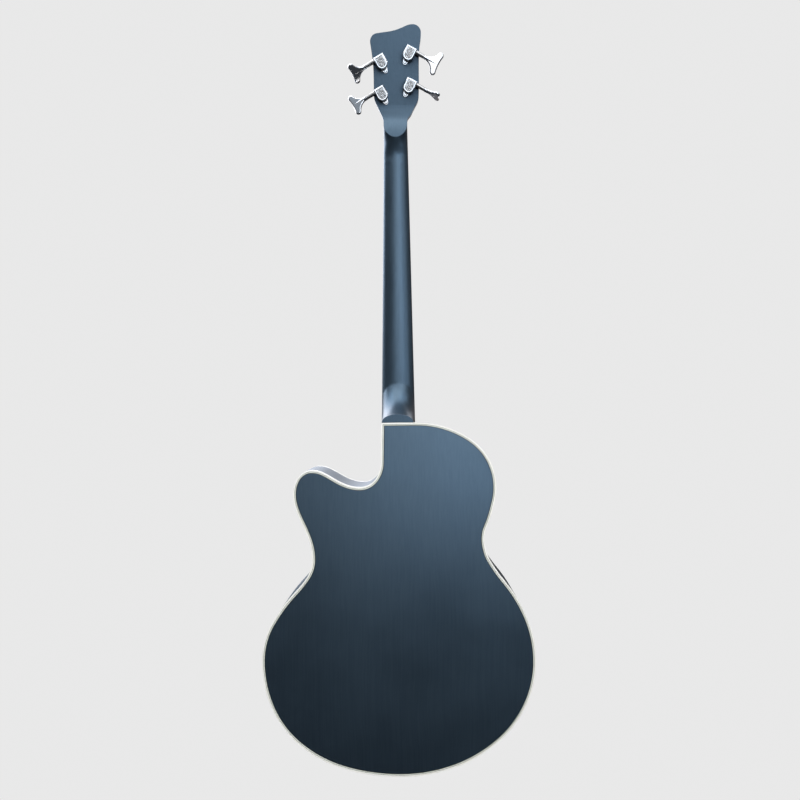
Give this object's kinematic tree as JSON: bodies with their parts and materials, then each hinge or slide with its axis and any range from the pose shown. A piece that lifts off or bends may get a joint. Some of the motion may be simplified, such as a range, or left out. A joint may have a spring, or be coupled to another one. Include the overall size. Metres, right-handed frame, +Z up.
{
  "type": "acoustic bass guitar",
  "caption": "Hollow-bodied acoustic bass guitar with a single cutaway, domed back, bound edges, bolt-free heel, tilted headstock and worm-geared tuners.",
  "frame": {"origin": "on the centre line at the bridge-side edge of the nut, in the plane where the fretboard is glued to the neck; the neck hangs in a wall hanger just above it", "axes": "+Z up the neck towards the headstock, +Y out of the soundboard towards the strings, +X towards the bass side"},
  "size_m": [0.4305, 0.1318, 1.2437],
  "materials": {
    "body_lacquer": "satin blue-black lacquer over wood",
    "top_lacquer": "satin blue-black lacquer over spruce",
    "neck_lacquer": "satin blue-black lacquer over wood",
    "face_veneer": "black veneer, satin",
    "binding": "cream",
    "ivory_line": "ivory",
    "black_line": "black",
    "rosette_inlay": "cream and black rings",
    "bare_wood": "bare mahogany",
    "brace_wood": "bare spruce",
    "dark_wood": "oiled rosewood",
    "fret_metal": "polished nickel silver",
    "pearl_dot": "pearl",
    "bone": "polished bone",
    "pin_plastic": "black",
    "wound_string": "bronze-wound",
    "brass": "machined",
    "rod_steel": "plain steel",
    "pickup": "shielded strip",
    "tuner_chrome": "chrome plate",
    "key_chrome": "chrome plate",
    "worm_steel": "chrome plate"
  },
  "bodies": {
    "guitar": {"soundboard": "top_lacquer", "rosette": "rosette_inlay", "top_binding": "binding", "back_binding": "binding", "side_bass": "body_lacquer", "side_treble": "body_lacquer", "back": "body_lacquer", "purfling_black": "black_line", "purfling_ivory": "ivory_line", "linings": "bare_wood", "neck_block": "bare_wood", "tail_block": "bare_wood", "back_braces": "brace_wood", "top_braces": "brace_wood", "bridge": "dark_wood", "pickup_strip": "pickup", "saddle": "bone", "bridge_pins": "pin_plastic", "bridge_plate": "brace_wood", "neck": "neck_lacquer", "headstock_veneer": "face_veneer", "heel_cap": "body_lacquer", "truss_rod": "rod_steel", "truss_rod_cover": "pin_plastic", "wood_screws": "tuner_chrome", "fretboard": "dark_wood", "frets": "fret_metal", "fret_markers": "pearl_dot", "nut": "bone", "string_e": "wound_string", "string_a": "wound_string", "string_d": "wound_string", "string_g": "wound_string", "string_ball_ends": "brass", "tuner_bushings": "tuner_chrome", "tuner_base_plates": "tuner_chrome", "tuner_e_housing": "tuner_chrome", "tuner_a_housing": "tuner_chrome", "tuner_d_housing": "tuner_chrome", "tuner_g_housing": "tuner_chrome", "output_jack": "tuner_chrome", "output_jack_nut": "rod_steel"},
    "key_e": {"tuner_e_key": "key_chrome", "tuner_e_worm": "worm_steel"},
    "post_e": {"tuner_e_post": "tuner_chrome", "tuner_e_gear": "brass"},
    "key_a": {"tuner_a_key": "key_chrome", "tuner_a_worm": "worm_steel"},
    "post_a": {"tuner_a_post": "tuner_chrome", "tuner_a_gear": "brass"},
    "key_d": {"tuner_d_key": "key_chrome", "tuner_d_worm": "worm_steel"},
    "post_d": {"tuner_d_post": "tuner_chrome", "tuner_d_gear": "brass"},
    "key_g": {"tuner_g_key": "key_chrome", "tuner_g_worm": "worm_steel"},
    "post_g": {"tuner_g_post": "tuner_chrome", "tuner_g_gear": "brass"},
    "rod_nut": {"truss_rod_nut": "rod_steel"}
  },
  "joints": [
    {"name": "key_e_turn", "type": "hinge", "parent": "guitar", "child": "key_e", "pos_m": [0.02868, -0.03188, 0.06218], "axis": [0.8746, 0.1008, -0.4742], "continuous": true},
    {"name": "post_e_turn", "type": "hinge", "parent": "guitar", "child": "post_e", "pos_m": [0.0246, -0.02615, 0.05588], "axis": [0, -0.9781, -0.2079], "continuous": true},
    {"name": "key_a_turn", "type": "hinge", "parent": "guitar", "child": "key_a", "pos_m": [0.02868, -0.0427, 0.11304], "axis": [0.8746, 0.1008, -0.4742], "continuous": true},
    {"name": "post_a_turn", "type": "hinge", "parent": "guitar", "child": "post_a", "pos_m": [0.0246, -0.03696, 0.10674], "axis": [0, -0.9781, -0.2079], "continuous": true},
    {"name": "key_d_turn", "type": "hinge", "parent": "guitar", "child": "key_d", "pos_m": [-0.02638, -0.03999, 0.10032], "axis": [-0.8746, 0.1008, -0.4742], "continuous": true},
    {"name": "post_d_turn", "type": "hinge", "parent": "guitar", "child": "post_d", "pos_m": [-0.0223, -0.03426, 0.09402], "axis": [0, -0.9781, -0.2079], "continuous": true},
    {"name": "key_g_turn", "type": "hinge", "parent": "guitar", "child": "key_g", "pos_m": [-0.02638, -0.02939, 0.05044], "axis": [-0.8746, 0.1008, -0.4742], "continuous": true},
    {"name": "post_g_turn", "type": "hinge", "parent": "guitar", "child": "post_g", "pos_m": [-0.0223, -0.02365, 0.04414], "axis": [0, -0.9781, -0.2079], "continuous": true},
    {"name": "rod_nut_turn", "type": "hinge", "parent": "guitar", "child": "rod_nut", "pos_m": [0, -0.0066, 0.0065], "axis": [0, 0, 1], "range_deg": [-180, 180]}
  ],
  "couplings": [
    {"joint": "post_e_turn", "follows": "key_e_turn", "ratio": 0.05},
    {"joint": "post_a_turn", "follows": "key_a_turn", "ratio": 0.05},
    {"joint": "post_d_turn", "follows": "key_d_turn", "ratio": 0.05},
    {"joint": "post_g_turn", "follows": "key_g_turn", "ratio": 0.05}
  ]
}
